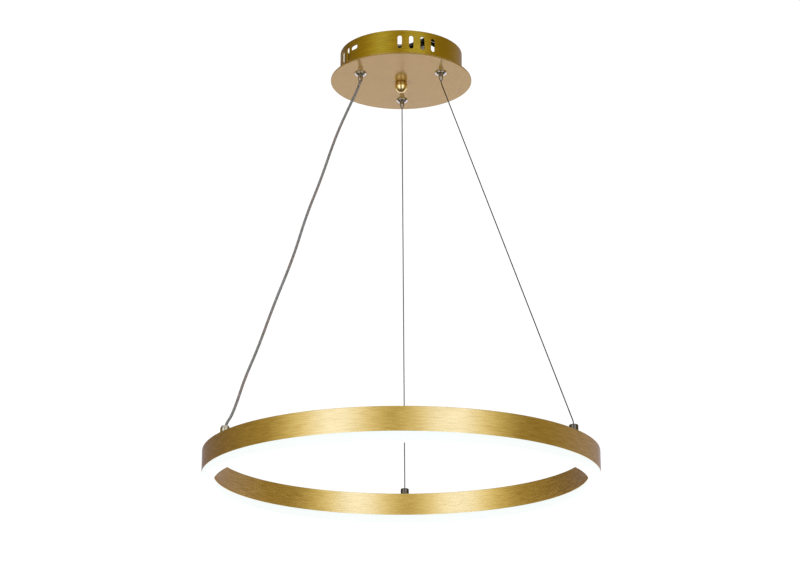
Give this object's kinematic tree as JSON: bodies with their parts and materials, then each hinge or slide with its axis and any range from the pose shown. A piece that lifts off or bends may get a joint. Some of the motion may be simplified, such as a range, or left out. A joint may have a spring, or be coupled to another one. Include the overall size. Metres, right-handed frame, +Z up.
{
  "type": "led ring pendant light",
  "caption": "Brushed gold LED ring pendant: an opal-lipped ring hung by thin cables from a slotted round ceiling canopy with a ball finial, height set at spring cable grips.",
  "frame": {"origin": "middle of the lamp on the ceiling plane, between the two ceiling screw slots", "axes": "+Z up into the ceiling, +Y to the far cable, +X to the right, seen from the pictured side"},
  "size_m": [0.4, 0.4, 0.47],
  "materials": {
    "ring_gold": "gold anodised, brushed round the ring",
    "opal_diffuser": "opal acrylic, lit from inside",
    "brushed_gold": "gold plated steel, brushed round the drum",
    "satin_champagne": "satin champagne gold",
    "polished_brass": "polished",
    "chrome": "polished nickel plate",
    "dark_chrome": "dark nickel plate",
    "bright_steel": "bright steel wire",
    "zinc_steel": "zinc plated",
    "clear_jacket": "clear soft vinyl over grey strands",
    "black_rubber": "moulded",
    "white_plastic": "fine moulded texture",
    "dark_plastic": "moulded",
    "circuit_board": "white solder mask",
    "led_chip": "silicone filled",
    "black_lead": "vinyl",
    "white_lead": "vinyl"
  },
  "bodies": {
    "canopy": {"canopy_disc": "satin_champagne", "canopy_drum": "brushed_gold", "mounting_bracket": "zinc_steel", "centre_stud": "zinc_steel", "stud_washer": "zinc_steel", "stud_nuts": "zinc_steel", "grip_nuts": "zinc_steel", "cord_grip_body": "chrome", "cord_grip_cap": "chrome", "cord_grip_sleeve": "black_rubber", "power_cable_tail": "clear_jacket", "power_cable": "clear_jacket", "grip_body_right": "chrome", "grip_cap_right": "chrome", "grip_spring_right": "bright_steel", "cable_tail_right": "bright_steel", "steel_cable_right": "bright_steel", "grip_body_far": "chrome", "grip_cap_far": "chrome", "grip_spring_far": "bright_steel", "cable_tail_far": "bright_steel", "steel_cable_far": "bright_steel", "driver_case": "white_plastic", "driver_lid": "white_plastic", "driver_board": "circuit_board", "driver_transformer": "dark_plastic", "driver_capacitors": "dark_plastic", "terminal_block": "white_plastic", "terminal_screws": "zinc_steel", "mains_lead_live": "black_lead", "mains_lead_neutral": "white_lead", "output_leads": "white_lead"},
    "ring": {"ring_housing": "ring_gold", "diffuser": "opal_diffuser", "led_strip": "circuit_board", "led_chips": "led_chip", "ring_nuts": "zinc_steel", "ring_leads": "white_lead", "power_gland_cap": "dark_chrome", "power_gland_stud": "zinc_steel", "terminal_cap_right": "dark_chrome", "terminal_stud_right": "zinc_steel", "ferrule_right": "zinc_steel", "terminal_cap_far": "dark_chrome", "terminal_stud_far": "zinc_steel", "ferrule_far": "zinc_steel"},
    "plunger_right": {"grip_plunger_right": "chrome", "grip_balls_right": "bright_steel"},
    "plunger_far": {"grip_plunger_far": "chrome", "grip_balls_far": "bright_steel"},
    "cord_nozzle": {"cord_grip_nozzle": "chrome"},
    "finial": {"finial_nut": "polished_brass"}
  },
  "joints": [
    {"name": "height_adjust", "type": "slide", "parent": "canopy", "child": "ring", "axis": [0, 0, 1], "range_m": [0, 0.25], "deforming": ["power_cable", "steel_cable_right", "steel_cable_far"]},
    {"name": "release_right", "type": "slide", "parent": "canopy", "child": "plunger_right", "axis": [0, 0, 1], "range_m": [0, 0.002], "stiffness_N_per_m": 300, "springref_m": -0.002, "deforming": ["grip_spring_right"]},
    {"name": "release_far", "type": "slide", "parent": "canopy", "child": "plunger_far", "axis": [0, 0, 1], "range_m": [0, 0.002], "stiffness_N_per_m": 300, "springref_m": -0.002, "deforming": ["grip_spring_far"]},
    {"name": "cord_nozzle_turn", "type": "hinge", "parent": "canopy", "child": "cord_nozzle", "pos_m": [-0.04243, -0.0245, -0.034], "axis": [0, 0, 1], "continuous": true},
    {"name": "finial_turn", "type": "hinge", "parent": "canopy", "child": "finial", "pos_m": [0, 0, -0.036], "axis": [0, 0, 1], "continuous": true}
  ]
}
